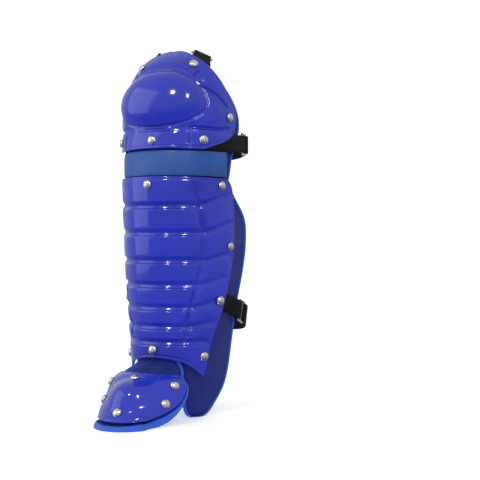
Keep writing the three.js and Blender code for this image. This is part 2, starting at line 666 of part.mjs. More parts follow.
// Nearest point of a shell's outer face to an aim, with the face's normal there.
function seatOn(faces, aim) {
  const grid = faces.outer;
  let best = { gap: Infinity };
  grid.slice(0, -1).forEach((row, r) =>
    row.slice(0, -1).forEach((corner, c) => {
      const [b, d] = [grid[r][c + 1], grid[r + 1][c]];
      const far = grid[r + 1][c + 1];
      [
        [corner, b, far],
        [corner, far, d],
      ].forEach(([p, q, s]) => {
        const triangle = new THREE.Triangle(p, q, s);
        const point = triangle.closestPointToPoint(aim, new THREE.Vector3());
        const gap = point.distanceTo(aim);
        if (gap < best.gap) best = { gap, point, normal: triangle.getNormal(new THREE.Vector3()) };
      });
    }),
  );
  return best;
}

function addRivet(name, faces, aim) {
  const { point } = seatOn(faces, aim);
  const near = faces.outer.flat().filter((p) => p.distanceTo(point) < RIVET_RADIUS * 2.6);
  const around = [point, ...near];
  const normal = new THREE.Vector3();
  for (let k = 0; k < 12; k += 1) {
    const turn = (k / 12) * Math.PI * 2;
    const level = seatOn(faces, point).normal;
    const side = new THREE.Vector3(0, 0, 1).cross(level).normalize();
    const up = level.clone().cross(side);
    const probe = point
      .clone()
      .addScaledVector(side, Math.cos(turn) * RIVET_RADIUS)
      .addScaledVector(up, Math.sin(turn) * RIVET_RADIUS);
    const found = seatOn(faces, probe);
    normal.add(found.normal);
    around.push(found.point);
  }
  normal.normalize();
  const lift = Math.max(
    ...around
      .filter((p) => p.clone().sub(point).projectOnPlane(normal).length() < RIVET_RADIUS * 1.15)
      .map((p) => p.clone().sub(point).dot(normal)),
  );
  const head = add(name, rivetGeometry(), PLATED);
  head.quaternion.setFromUnitVectors(new THREE.Vector3(0, 0, 1), normal);
  head.position.copy(point).addScaledVector(normal, lift + 0.3);
}

// Rivets on the shin and knee shells: angle in degrees, height as a share of the shell's length.
const SHIN_RIVETS = [
  { name: "head", angle: 0, height: 0.955 },
  { name: "shoulder", angle: 69, height: 0.955 },
  { name: "calf", angle: 78.5, height: 0.615 },
  { name: "ankle", angle: 67.7, height: 0.318 },
  { name: "foot", angle: 0, height: 0.045 },
  { name: "tip", angle: 53, height: 0.005 },
];
const KNEE_RIVETS = [
  { name: "strip", angle: 0, height: 0.087 },
  { name: "corner", angle: 48, height: 0.097 },
  { name: "cheek", angle: 78.5, height: 0.335 },
  { name: "crown", angle: 36, height: 0.828 },
];
function addRivets(prefix, rivets, faces, foot, length) {
  rivets.forEach(({ name, angle, height }) => {
    const sides = angle ? [["_right", 1], ["_left", -1]] : [["", 1]];
    sides.forEach(([ending, side]) => {
      const aim = offFoam(side * angle, foot + height * length, SHELL_STAND_OFF + SHELL_WALL);
      addRivet(`${prefix}_rivet_${name}${ending}`, faces, aim);
    });
  });
}
addRivets("shin", SHIN_RIVETS, shinFaces, ANKLE_HEIGHT, SHIN_LENGTH);
addRivets("knee", KNEE_RIVETS, kneeFaces, KNEE_FOOT, KNEE_LENGTH);

// Toe rivets, by share across and along the toe shell.
const TOE_RIVETS = [
  { name: "instep", u: 0, v: 0.22 },
  { name: "toe", u: 0, v: 0.84 },
  { name: "rear", u: 0.83, v: 0.26 },
  { name: "front", u: 0.83, v: 0.62 },
];
TOE_RIVETS.forEach(({ name, u, v }) => {
  const sides = u ? [["_right", 1], ["_left", -1]] : [["", 1]];
  sides.forEach(([ending, side]) =>
    addRivet(`toe_rivet_${name}${ending}`, toeFaces, toeSurface(side * u, v)),
  );
});

// Straps. On the +X side a webbing tab comes out from under its shell, turns back round the front
// bar of a metal slide, and the elastic strap turns round the slide's rear bar and runs behind the
// leg. The other side is the same, with a plain metal loop for the hook.

// One strip of webbing along points, each with the direction its width lies in.
function ribbon(path) {
  const sections = path.map(({ point, width }, i) => {
    const before = path[Math.max(0, i - 1)].point;
    const after = path[Math.min(path.length - 1, i + 1)].point;
    const along = after.clone().sub(before).normalize();
    const across = width.clone().projectOnPlane(along).normalize();
    const away = along.clone().cross(across);
    return [[-1, -1], [1, -1], [1, 1], [-1, 1]].map(([a, b]) =>
      point
        .clone()
        .addScaledVector(across, (a * WEBBING_WIDTH) / 2)
        .addScaledVector(away, (b * WEBBING_THICK) / 2),
    );
  });
  return loft(sections);
}

function mirroredGeometry(geometry) {
  const copy = geometry.clone().scale(-1, 1, 1);
  const inOrder = { length: copy.attributes.position.count };
  const faces = Array.from(copy.index?.array ?? inOrder, (corner, i) => corner ?? i);
  for (let k = 0; k < faces.length; k += 3) {
    [faces[k], faces[k + 1]] = [faces[k + 1], faces[k]];
  }
  copy.setIndex(faces);
  copy.computeVertexNormals();
  return copy;
}

// Slide seen from outside: x along the strap, y across it. Bars are SLIDE_WIRE wide and thick.
const SLIDE_ACROSS = WEBBING_WIDTH + 2 * SLIDE_WIRE + 1.8;
const SLIDE_TURN = SLIDE_WIRE * 0.92 + WEBBING_THICK / 2; // radius of the webbing round a bar
const SLIDE_BAR = (SLIDE_LENGTH - SLIDE_WIRE) / 2; // slide's middle to the middle of an end bar

function slideGeometry(bars) {
  const rectangle = (Form, x, width, height) => {
    const form = new Form();
    form.moveTo(x - width / 2, -height / 2);
    form.lineTo(x + width / 2, -height / 2);
    form.lineTo(x + width / 2, height / 2);
    form.lineTo(x - width / 2, height / 2);
    return form;
  };
  const plate = rectangle(THREE.Shape, 0, SLIDE_LENGTH, SLIDE_ACROSS);
  const slot = (SLIDE_LENGTH - SLIDE_WIRE * (bars + 2)) / (bars + 1);
  for (let k = 0; k <= bars; k += 1) {
    const x = (k - bars / 2) * (slot + SLIDE_WIRE);
    const open = SLIDE_ACROSS - (2 + 0.15 * k) * SLIDE_WIRE; // the rear slot is a little shorter
    plate.holes.push(rectangle(THREE.Path, x, slot, open));
  }
  return new THREE.ExtrudeGeometry(plate, { depth: SLIDE_WIRE, bevelEnabled: false }).translate(
    0,
    0,
    -SLIDE_WIRE / 2,
  );
}

// level is the strap's height. Below it, tab and back list points in order from under the shell to
// the middle of the leg's back, and slide is the middle of the slide. drop is in webbing widths
// below the level, out in webbing thicknesses outside the foam, x and y are shares of LEG_SIDE and
// LEG_BACK. In degrees, turn is the way the strap runs at the slide, in plan, fall its slope, and
// lean how far its width is turned from upright.
const STRAPS = [
  {
    name: "lower",
    level: ANKLE_HEIGHT + 0.31 * SHIN_LENGTH,
    tab: [
      { angle: 70.5, drop: 0, out: 0.82 },
      { angle: 76, drop: 0.07, out: 1 },
      { angle: 84, drop: 0.22, out: 1.45 },
      { angle: 90, drop: 0.37, out: 2.5 },
    ],
    slide: { x: 1.02, y: 0.22, drop: 0.7, turn: 92, fall: 20, lean: 0 },
    back: [
      { x: 0.955, y: 0.5, drop: 1.08 },
      { x: 0.74, y: 0.82, drop: 1.4 },
      { x: 0.38, y: 1.03, drop: 1.57 },
      { x: 0, y: 1.09, drop: 1.62 },
    ],
  },
  {
    name: "middle",
    level: KNEE_FOOT + 0.09 * KNEE_LENGTH,
    tab: [
      { angle: 52, drop: 0.03, out: 0.86 },
      { angle: 62, drop: 0.03, out: 0.86 },
      { angle: 74, drop: 0.02, out: 0.86 },
      { angle: 85, drop: 0, out: 1.3 },
      { angle: 94, drop: -0.03, out: 1.95 },
      { angle: 101, drop: -0.05, out: 2.7 },
    ],
    slide: { x: 0.99, y: 0.35, drop: -0.08, turn: 98, fall: 0, lean: 0 },
    back: [
      { x: 0.89, y: 0.56, drop: -0.05 },
      { x: 0.67, y: 0.8, drop: 0.04 },
      { x: 0.36, y: 0.94, drop: 0.12 },
      { x: 0, y: 0.98, drop: 0.16 },
    ],
  },
  {
    name: "top",
    level: KNEE_FOOT + 0.885 * KNEE_LENGTH,
    tab: [
      { angle: 46.5, drop: 0.36, out: 0.66, lean: 68 },
      { angle: 48, drop: 0.06, out: 0.85, lean: 68 },
      { angle: 49, drop: -0.34, out: 1.3, lean: 68 },
    ],
    slide: { x: 0.42, y: -0.12, drop: -0.6, turn: 125, fall: -8, lean: -68 },
    back: [
      { x: 0.32, y: 0.07, drop: -0.7 },
      { x: 0.27, y: 0.24, drop: -0.6 },
      { x: 0.15, y: 0.35, drop: -0.52 },
      { x: 0, y: 0.39, drop: -0.5 },
    ],
  },
];

STRAPS.forEach(({ name, level, tab, slide, back }) => {
  const height = (drop) => level - drop * WEBBING_WIDTH;
  const behindLeg = ({ x, y, drop }) =>
    new THREE.Vector3(x * LEG_SIDE, y * LEG_BACK, height(drop));
  const [turn, fall, lean] = [slide.turn, slide.fall, slide.lean].map(THREE.MathUtils.degToRad);
  const along = new THREE.Vector3(Math.cos(turn), Math.sin(turn), -Math.tan(fall)).normalize();
  const upright = new THREE.Vector3(0, 0, 1);
  const width = upright.clone().projectOnPlane(along).normalize().applyAxisAngle(along, lean);
  const away = along.clone().cross(width);
  const centre = behindLeg(slide);
  const place = (x, z) => ({
    point: centre.clone().addScaledVector(along, x).addScaledVector(away, z),
    width,
  });
  // The fold round an end bar, from the outer layer to the inner one; end is -1 front, 1 rear.
  const fold = (end) => [
    place(end * (SLIDE_BAR + SLIDE_WIRE), SLIDE_TURN),
    ...[90, 45, 0, -45, -90].map((angle) => {
      const round = THREE.MathUtils.degToRad(angle);
      const x = end * (SLIDE_BAR - SLIDE_TURN * Math.cos(round));
      return place(x, SLIDE_TURN * Math.sin(round));
    }),
    place(end * (SLIDE_BAR + SLIDE_TAIL), -SLIDE_TURN),
  ];
  const onFoam = tab.map(({ angle, drop, out, lean = 0 }) => {
    const [z, off] = [height(drop), out * WEBBING_THICK];
    const upright = offFoam(angle, z + 1, off).sub(offFoam(angle, z - 1, off));
    const turned = THREE.MathUtils.degToRad(lean);
    return {
      point: offFoam(angle, z, off),
      width: upright.applyAxisAngle(outward(foamPoint, angle, z), turned),
    };
  });
  const tabStrip = ribbon([...onFoam, ...fold(-1)]);
  add(`strap_${name}_tab_right`, tabStrip, BLACK_WEBBING);
  add(`strap_${name}_tab_left`, mirroredGeometry(tabStrip), BLACK_WEBBING);

  const behind = back.map((row, i) => ({
    point: behindLeg(row),
    width: width.clone().lerp(upright, (i + 1) / back.length),
  }));
  const right = [...fold(1).reverse(), ...behind];
  const flip = new THREE.Vector3(-1, 1, 1);
  const left = right.slice(0, -1).reverse().map((end) => ({
    point: end.point.clone().multiply(flip),
    width: end.width.clone().multiply(flip),
  }));
  add(`strap_${name}_elastic`, ribbon([...right, ...left]), BLACK_WEBBING);

  const basis = new THREE.Matrix4().makeBasis(along, width, away).setPosition(centre);
  add(`strap_${name}_slide`, slideGeometry(1).applyMatrix4(basis), PLATED);
  const loop = mirroredGeometry(slideGeometry(0).applyMatrix4(basis));
  add(`strap_${name}_hook_loop`, loop, PLATED);
});

const leg = new THREE.Group();
leg.add(guard);
const box = new THREE.Box3().setFromObject(guard);
const middle = box.getCenter(new THREE.Vector3());
guard.position.set(-middle.x, -middle.y, -box.min.z);
export default leg;
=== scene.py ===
# %% [markdown]
# # A catcher's leg guard
# The guard is a set of glossy moulded shells riveted to foam pads, with black webbing behind.
# The solid parts come from the frame. Here each one gets the smooth skin, cloth, thread and
# plating that the real one has.

import math

import bmesh
import bpy
import numpy as np
from mathutils import Matrix, Vector
from mathutils.bvhtree import BVHTree
from mathutils.kdtree import KDTree


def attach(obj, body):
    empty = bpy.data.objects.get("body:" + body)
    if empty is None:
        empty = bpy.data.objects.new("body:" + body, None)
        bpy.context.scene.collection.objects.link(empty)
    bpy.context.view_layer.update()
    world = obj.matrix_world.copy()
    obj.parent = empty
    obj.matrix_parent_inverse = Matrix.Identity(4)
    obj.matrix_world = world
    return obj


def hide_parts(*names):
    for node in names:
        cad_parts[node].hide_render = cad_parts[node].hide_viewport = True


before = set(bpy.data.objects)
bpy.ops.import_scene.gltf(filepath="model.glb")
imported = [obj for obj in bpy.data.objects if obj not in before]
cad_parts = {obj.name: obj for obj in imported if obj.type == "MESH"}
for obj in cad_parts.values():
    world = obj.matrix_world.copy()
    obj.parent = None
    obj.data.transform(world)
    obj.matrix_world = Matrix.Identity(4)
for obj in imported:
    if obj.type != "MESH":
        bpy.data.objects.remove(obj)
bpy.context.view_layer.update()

# %% [markdown]
# ## Shader sums
# A finish is a small sum of patterns: a weave plus some dust, a gloss less some scratches. Blender
# does sums with Math nodes. Wrapping a socket in a class lets Python's own + and * add those nodes,
# so a finish can be read as a sum.


# %% A socket that can be added and multiplied
class Wire:
    def __init__(self, finish, socket):
        self.finish = finish
        self.socket = socket

    def math(self, operation, *others):
        values = dict(enumerate([self, *others]))
        return self.finish.node("ShaderNodeMath", {"operation": operation}, values)

    def __add__(self, other):
        return self.math("ADD", other)

    __radd__ = __add__

    def __mul__(self, other):
        return self.math("MULTIPLY", other)

    __rmul__ = __mul__

    def __sub__(self, other):
        return self.math("SUBTRACT", other)

    def __rsub__(self, other):
        return self.finish.node(
            "ShaderNodeMath", {"operation": "SUBTRACT"}, {0: other, 1: self}
        )

    def sine(self):
        return self.math("SINE")

    def between(self, low, high):
        return self.finish.node(
            "ShaderNodeMapRange",
            {"clamp": True},
            {"Value": self, "From Min": low, "From Max": high},
        )


# %% A finish holds one material
# A Mix node has a set of sockets for numbers, vectors and colours each. These are the colours'.
MIX_SHARE, MIX_FIRST, MIX_SECOND, MIX_RESULT = 0, 6, 7, 2


class Finish:
    def __init__(self, name, **constants):
        self.material = bpy.data.materials.new(name)
        self.material.use_nodes = True
        self.tree = self.material.node_tree
        self.shader = self.tree.nodes["Principled BSDF"]
        for socket, value in constants.items():
            self.shader.inputs[socket.replace("_", " ")].default_value = value

    def node(self, kind, settings, values, out=0):
        made = self.tree.nodes.new(kind)
        for key, value in settings.items():
            setattr(made, key, value)
        for key, value in values.items():
            self.join(made.inputs[key], value)
        return Wire(self, made.outputs[out])

    def join(self, socket, value):
        if isinstance(value, Wire):
            self.tree.links.new(value.socket, socket)
        else:
            socket.default_value = value

    def place(self):
        return self.node("ShaderNodeTexCoord", {}, {}, "Object")

    def cloth_place(self):
        return self.node("ShaderNodeUVMap", {"uv_map": "cloth"}, {})

    def apart(self, vector):
        split = self.node("ShaderNodeSeparateXYZ", {}, {"Vector": vector})
        sockets = split.socket.node.outputs
        return [Wire(self, socket) for socket in sockets]

    def noise(self, vector, scale, detail=2.0, roughness=0.5):
        values = {"Vector": vector, "Scale": scale, "Detail": detail, "Roughness": roughness}
        return self.node("ShaderNodeTexNoise", {}, values, "Fac")

    def blend(self, share, first, second):
        """Mixes two colours, each four numbers."""
        values = {MIX_SHARE: share, MIX_FIRST: first, MIX_SECOND: second}
        return self.node("ShaderNodeMix", {"data_type": "RGBA"}, values, MIX_RESULT)

    def bump(self, height, distance):
        values = {"Height": height, "Distance": distance}
        made = self.node("ShaderNodeBump", {}, values)
        self.join(self.shader.inputs["Normal"], made)

    def feed(self, socket, value):
        self.join(self.shader.inputs[socket], value)


# %% [markdown]
# ## The finishes
# The shells are injection-moulded and polished, so they are smooth with a faint orange peel and
# fine rubbing marks. A noise of a few centimetres tints them a little, since no plastic is one
# flat colour under studio light.

# %% Moulded shell
shell_finish = Finish("polished_shell", Coat_Roughness=0.05, IOR=1.5)
at = shell_finish.place()
tint = shell_finish.noise(at, 14, 3)
rubbing = shell_finish.noise(at, 320, 4, 0.7)
SHELL_DARK, SHELL_LIGHT = (0.009, 0.021, 0.4, 1), (0.014, 0.032, 0.5, 1)
shell_finish.feed("Base Color", shell_finish.blend(tint.between(0.3, 0.7), SHELL_DARK, SHELL_LIGHT))
shell_finish.feed("Roughness", 0.13 + 0.14 * rubbing.between(0.55, 0.85))
shell_finish.feed("Coat Weight", 0.6 - 0.3 * tint)
shell_finish.bump(shell_finish.noise(at, 95, 2) + 0.15 * rubbing, 0.00013)
print("made", shell_finish.material.name)

# %% Satin band
band_finish = Finish("satin_band", IOR=1.46)
at = band_finish.place()
cloud = band_finish.noise(at, 22, 3)
grain = band_finish.noise(at, 1500, 3, 0.65)
BAND_DARK, BAND_LIGHT = (0.011, 0.07, 0.29, 1), (0.017, 0.098, 0.38, 1)
band_finish.feed("Base Color", band_finish.blend(cloud.between(0.3, 0.7), BAND_DARK, BAND_LIGHT))
band_finish.feed("Roughness", 0.36 + 0.12 * grain)
band_finish.bump(grain, 0.00012)

# %% [markdown]
# The pads are foam under tightly laid nylon. The weave is too fine to model, so sines of the
# height and of the way round the leg make it in the bump. The piece's own cloth map carries both
# lengths in metres, so a thread is the same width all over.


# %% Woven cloth
def woven(name, dark, light, pitch, rough, depth, fuzz):
    """pitch is the width of a thread and depth its height, in metres. fuzz is the sheen."""
    cloth = Finish(name, IOR=1.45, Specular_IOR_Level=0.3)
    cloth.shader.inputs["Sheen Weight"].default_value = fuzz
    cloth.shader.inputs["Sheen Roughness"].default_value = 0.45
    at = cloth.cloth_place()
    along, across, _ = cloth.apart(at)
    turn = 2 * math.pi / pitch
    warp = (along * turn).sine()
    weft = (across * turn).sine()
    over = warp * weft * 0.5 + 0.5
    worn = cloth.noise(cloth.place(), 38, 4, 0.6)
    share = worn.between(0.25, 0.75) * 0.6 + over * 0.4
    cloth.feed("Base Color", cloth.blend(share, dark, light))
    cloth.feed("Roughness", rough + 0.12 * over)
    cloth.bump(over + 0.6 * worn, depth)
    return cloth


nylon_finish = woven(
    "navy_nylon", (0.006, 0.012, 0.13, 1), (0.011, 0.026, 0.25, 1),
    pitch=0.0011, rough=0.5, depth=0.00016, fuzz=0.04,
)
binding_finish = woven(
    "bright_binding", (0.016, 0.085, 0.56, 1), (0.03, 0.14, 0.78, 1),
    pitch=0.0016, rough=0.42, depth=0.00022, fuzz=0.1,
)
webbing_finish = woven(
    "black_webbing", (0.0015, 0.0015, 0.0018, 1), (0.006, 0.006, 0.0065, 1),
    pitch=0.0023, rough=0.6, depth=0.0004, fuzz=0.0,
)
thread_finish = woven(
    "blue_thread", (0.02, 0.07, 0.5, 1), (0.03, 0.1, 0.62, 1),
    pitch=0.0006, rough=0.5, depth=0.0001, fuzz=0.1,
)

# %% [markdown]
# The tongue of the toe pad is brushed loop cloth: short fibres that lie in tufts, darker where
# they part. Two noises of different size give the tufts.

# %% Brushed loop cloth
loop_finish = Finish("brushed_loop", IOR=1.4, Specular_IOR_Level=0.2)
loop_finish.shader.inputs["Sheen Weight"].default_value = 0.12
loop_finish.shader.inputs["Sheen Roughness"].default_value = 0.35
at = loop_finish.place()
tufts = loop_finish.noise(at, 260, 5, 0.7)
patches = loop_finish.noise(at, 70, 2)
LOOP_DARK, LOOP_LIGHT = (0.004, 0.01, 0.1, 1), (0.012, 0.045, 0.3, 1)
share = tufts.between(0.35, 0.7) * 0.7 + patches * 0.3
loop_finish.feed("Base Color", loop_finish.blend(share, LOOP_DARK, LOOP_LIGHT))
loop_finish.feed("Roughness", 0.78 + 0.1 * tufts)
loop_finish.bump(tufts + 0.5 * patches, 0.0012)

# %% Nickel plate
plate_finish = Finish("nickel_plate", Metallic=1.0)
at = plate_finish.place()
smear = plate_finish.noise(at, 140, 3)
PLATE_WARM, PLATE_LIGHT = (0.72, 0.68, 0.6, 1), (0.84, 0.82, 0.77, 1)
share = smear.between(0.3, 0.8)
plate_finish.feed("Base Color", plate_finish.blend(share, PLATE_WARM, PLATE_LIGHT))
plate_finish.feed("Roughness", 0.13 + 0.12 * smear)
plate_finish.bump(smear, 0.00006)
print("materials:", len(bpy.data.materials))

# %% [markdown]
# ## Working copies
# A solid from the frame is loose triangles. A copy of it is merged into one skin and its triangles
# are paired back into the four-sided faces of the moulder's grid, which a Subdivision Surface can
# round. Edges that turn sharply are creased so that grooves and rims stay crisp.


# %% Select one piece
def take(piece):
    for other in bpy.context.selected_objects:
        other.select_set(False)
    piece.select_set(True)
    bpy.context.view_layer.objects.active = piece


def finish_modifier(piece, kind, **settings):
    take(piece)
    modifier = piece.modifiers.new(kind.lower(), kind)
    for key, value in settings.items():
        setattr(modifier, key, value)
    bpy.ops.object.modifier_apply(modifier=modifier.name)


# %% Copy and merge a solid
MERGE_DISTANCE = 2e-5
PAIRING_ANGLE = math.radians(70)


def working_copy(node, name):
    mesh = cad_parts[node].data.copy()
    mesh.materials.clear()
    piece = bpy.data.objects.new(name, mesh)
    bpy.context.collection.objects.link(piece)
    take(piece)
    bpy.ops.object.mode_set(mode="EDIT")
    bpy.ops.mesh.select_all(action="SELECT")
    bpy.ops.mesh.remove_doubles(threshold=MERGE_DISTANCE)
    bpy.ops.mesh.tris_convert_to_quads(
        face_threshold=PAIRING_ANGLE, shape_threshold=PAIRING_ANGLE
    )
    bpy.ops.object.mode_set(mode="OBJECT")
    return piece


# %% Crease by angle and round
def crease_by_angle(piece, start, full, most):
    """An edge turning by start degrees gets no crease, and one turning by full degrees the most."""
    shape = bmesh.new()
    shape.from_mesh(piece.data)
    layer = shape.edges.layers.float.new("crease_edge")
    for edge in shape.edges:
        turn = math.degrees(edge.calc_face_angle(0))
        share = min(1.0, max(0.0, (turn - start) / (full - start)))
        edge[layer] = share * most
    shape.to_mesh(piece.data)
    shape.free()


def rounded(piece, levels, start, full, most):
    crease_by_angle(piece, start, full, most)
    finish_modifier(piece, "SUBSURF", levels=levels, render_levels=levels)
    take(piece)
    bpy.ops.object.shade_smooth()


# %% Move every point of a piece
def shift(piece, moves):
    """Moves are worked out first, since moving a point changes its neighbours' normals."""
    for vertex, move in zip(piece.data.vertices, moves):
        vertex.co += move


# %% Finish a piece and put it in its node's place
def settle(piece, finish, node):
    piece.data.materials.append(finish.material)
    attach(piece, "root")
    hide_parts(node)
    print(piece.name, len(piece.data.polygons), "faces")


# %% [markdown]
# ## The shells
# The shin, knee and toe shells are one skin each. Three levels of subdivision turn the grid into
# pillows between crisp grooves. The rim keeps part of its crease: a moulded edge is rounded to
# about a millimetre, not sharp. A fine line runs beside the rim, where the mould's two halves
# leave a bead: points at that distance from the rim's sharp edges are pressed in.

# %% Bead beside a shell's rim
RIM_ANGLE = math.radians(62)
RIM_SPACING = 0.0005
BEAD_DEPTH = 0.0006


def rim_tree(piece):
    """Close-set points along the sharp edges round a shell's rim."""
    shape = bmesh.new()
    shape.from_mesh(piece.data)
    points = []
    for edge in shape.edges:
        if edge.calc_face_angle(0) > RIM_ANGLE:
            start, end = (vertex.co for vertex in edge.verts)
            count = max(1, int((end - start).length / RIM_SPACING))
            points += [start.lerp(end, k / count) for k in range(count)]
    shape.free()
    tree = KDTree(len(points))
    for i, point in enumerate(points):
        tree.insert(point, i)
    tree.balance()
    return tree


def rim_bead(piece, tree, inset, width):
    moves = []
    for vertex in piece.data.vertices:
        gap = tree.find(vertex.co)[2]
        moves.append(vertex.normal * (-BEAD_DEPTH * math.exp(-(((gap - inset) / width) ** 2))))
    shift(piece, moves)


# %% Shin and toe shells
for node in ("shin_shell", "toe_shell"):
    shell = working_copy(node, node + "_skin")
    rim = rim_tree(shell)
    rounded(shell, 3, start=14, full=50, most=0.85)
    rim_bead(shell, rim, inset=0.0036, width=0.0011)
    settle(shell, shell_finish, node)

# %% Band
band = working_copy("middle_band", "middle_band_skin")
rounded(band, 3, start=14, full=50, most=0.85)
settle(band, band_finish, "middle_band")

# %% [markdown]
# The knee shell's creases run slantwise across its grid, so they come out softer than the real
# ones. Its skin is subdivided and relaxed with a Smooth modifier. Then the creases are pressed in
# along lines round the leg: each is a list of points, as degrees from the front and metres above
# the floor. The mesh is made finer only beside those lines, where the detail is.

# %% Lines of the knee's creases
LEG_AXIS = Vector((0.0, 0.0477))
DOME_CENTRE, DOME_UP, DOME_DOWN, DOME_HALF_ANGLE = 0.434, 0.0465, 0.0345, 49
ARC = 0.085 * math.pi / 180  # metres of arc per degree round the knee

ring = []
for degrees in range(0, 361, 5):
    turn = math.radians(degrees)
    tall = DOME_UP if math.sin(turn) > 0 else DOME_DOWN
    ring.append((DOME_HALF_ANGLE * math.cos(turn), DOME_CENTRE + tall * math.sin(turn)))

strip_top = [(35, 0.3985), (55, 0.3975), (68, 0.3985), (74, 0.4)]
strip_upright = [(33.4, 0.3745), (33.4, 0.398)]
shoulder_fold = [(34.2, 0.4665), (39.5, 0.4735), (44.5, 0.479)]
cheek_fold = [(40, 0.4575), (50, 0.4535), (62, 0.443), (72, 0.4285)]


def both_sides(lines):
    return [[(side * angle, z) for angle, z in line] for side in (-1, 1) for line in lines]


creases = [ring] + both_sides([strip_top, strip_upright, shoulder_fold, cheek_fold])


# %% Press creases into a skin
CREASE_SPACING = 0.0004


def crease_tree(lines):
    dots = []
    for line in lines:
        for (a, low), (b, high) in zip(line, line[1:]):
            length = math.hypot((b - a) * ARC, high - low)
            count = max(2, int(length / CREASE_SPACING))
            steps = [k / count for k in range(count)]
            dots += [(a + (b - a) * share, low + (high - low) * share) for share in steps]
    tree = KDTree(len(dots))
    for i, (angle, z) in enumerate(dots):
        tree.insert((angle * ARC, z, 0), i)
    tree.balance()
    return tree


def crease_gap(tree, place):
    angle = math.degrees(math.atan2(place.x - LEG_AXIS.x, LEG_AXIS.y - place.y))
    return tree.find((angle * ARC, place.z, 0))[2]


def is_outside(place, normal):
    return normal.x * place.x + normal.y * (place.y - LEG_AXIS.y) > 0


def refine(piece, wanted):
    """Subdivides once the faces that pass the test."""
    take(piece)
    bpy.ops.object.mode_set(mode="EDIT")
    bpy.ops.mesh.select_mode(type="FACE")
    bpy.ops.mesh.select_all(action="DESELECT")
    shape = bmesh.from_edit_mesh(piece.data)
    for face in shape.faces:
        face.select = wanted(face.calc_center_median(), face.normal)
    bmesh.update_edit_mesh(piece.data)
    bpy.ops.mesh.subdivide(number_cuts=1)
    bpy.ops.object.mode_set(mode="OBJECT")


def engrave(piece, tree, width, depth):
    """A valley with a low shoulder on each side of it."""
    moves = []
    for vertex in piece.data.vertices:
        gap = crease_gap(tree, vertex.co)
        outward = is_outside(vertex.co, vertex.normal)
        valley = depth * math.exp(-((gap / width) ** 2))
        shoulder = 0.25 * depth * math.exp(-(((gap - 2.2 * width) / width) ** 2))
        moves.append(vertex.normal * (shoulder - valley) * outward)
    shift(piece, moves)


# %% Knee shell
NEAR_CREASE, NEAR_RIM = 0.0055, 0.0065


def has_detail(place, normal):
    near = crease_gap(valleys, place) < NEAR_CREASE or rim.find(place)[2] < NEAR_RIM
    return is_outside(place, normal) and near


knee = working_copy("knee_shell", "knee_shell_skin")
rim = rim_tree(knee)
rounded(knee, 3, start=50, full=100, most=0.8)
finish_modifier(knee, "SMOOTH", factor=0.5, iterations=22)
valleys = crease_tree(creases)
refine(knee, has_detail)
engrave(knee, valleys, width=0.0017, depth=0.0018)
rim_bead(knee, rim, inset=0.0042, width=0.001)
take(knee)
bpy.ops.object.shade_smooth()
settle(knee, shell_finish, "knee_shell")

# %% [markdown]
# The shin's upright grooves bend from rib to rib. The same tool presses a crisp line along the
# bottom of each, given as degrees from the front and as a share of the shell's height.

# %% Upright grooves of the shin
SHIN_FOOT, SHIN_TALL = 0.084, 0.247
panel_edge = [
    (31, 0.12), (32, 0.21), (36, 0.32), (40.5, 0.43), (44.5, 0.55), (45, 0.7), (41, 0.84),
]
upright = [(angle, SHIN_FOOT + SHIN_TALL * share) for angle, share in panel_edge]
shin = bpy.data.objects["shin_shell_skin"]
engrave(shin, crease_tree(both_sides([upright])), width=0.0019, depth=0.0013)

# %% [markdown]
# ## Cloth maps
# Woven finishes need to know the way along the cloth. Every soft piece goes round the leg, so the
# distance round the leg's axis and the height make a map that hardly stretches.


# %% Map cloth round the leg
CLOTH_RADIUS = 0.08  # the leg's, on average


def cloth_map(piece):
    mesh = piece.data
    layer = mesh.uv_layers.new(name="cloth")
    places = np.empty(len(mesh.vertices) * 3)
    mesh.vertices.foreach_get("co", places)
    places = places.reshape(-1, 3)
    corners = np.empty(len(mesh.loops), dtype=np.int32)
    mesh.loops.foreach_get("vertex_index", corners)
    turn = np.arctan2(places[:, 0] - LEG_AXIS.x, LEG_AXIS.y - places[:, 1])
    pairs = np.column_stack([turn * CLOTH_RADIUS, places[:, 2]])
    layer.data.foreach_set("uv", pairs[corners].ravel())


# %% [markdown]
# ## The pads
# Foam is thickest in the middle and pinched where the binding is sewn round its edge. Each pad is
# subdivided, and points near the binding are drawn in along their normals, which gives the crown.
# The nearest points go into the tape itself, so that no gap shows beside it. Then a soft noise
# makes the slight waviness of cloth laid over foam.


# %% Pinch a pad towards its binding
INTO_TAPE = 0.9  # share of the way to the tape's surface
INTO_TAPE_EASE = 0.001


def pinch(piece, binding_node, width, depth, reach):
    """width is how far in the crown begins, and reach how near the tape a point goes into it."""
    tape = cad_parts[binding_node].data
    tree = BVHTree.FromPolygons(
        [v.co for v in tape.vertices], [tuple(f.vertices) for f in tape.polygons]
    )
    moves = []
    for vertex in piece.data.vertices:
        nearest, _, _, gap = tree.find_nearest(vertex.co)
        share = max(0.0, 1 - gap / width)
        pull = INTO_TAPE * max(0.0, min(1.0, (reach - gap) / INTO_TAPE_EASE))
        moves.append(vertex.normal * (-depth * share * share) + (nearest - vertex.co) * pull)
    shift(piece, moves)


def waves(piece, size, depth):
    cloth_waves = bpy.data.textures.new(piece.name + "_waves", "CLOUDS")
    cloth_waves.noise_scale = size
    finish_modifier(
        piece, "DISPLACE", texture=cloth_waves, strength=depth, mid_level=0.5,
        texture_coords="LOCAL",
    )


# %% Knee pad and leg liner
for node in ("knee_pad", "leg_liner"):
    pad = working_copy(node, node + "_cloth")
    rounded(pad, 3, start=50, full=120, most=0.5)
    pinch(pad, node + "_binding", width=0.012, depth=0.0018, reach=0.0042)
    waves(pad, size=0.035, depth=0.0011)
    cloth_map(pad)
    settle(pad, nylon_finish, node)

# %% [markdown]
# The toe pad's front and the binding round it are drawn in a little towards the middle, so that
# the roll ends flush with the toe shell. Both pieces go through the same step, and stay together.

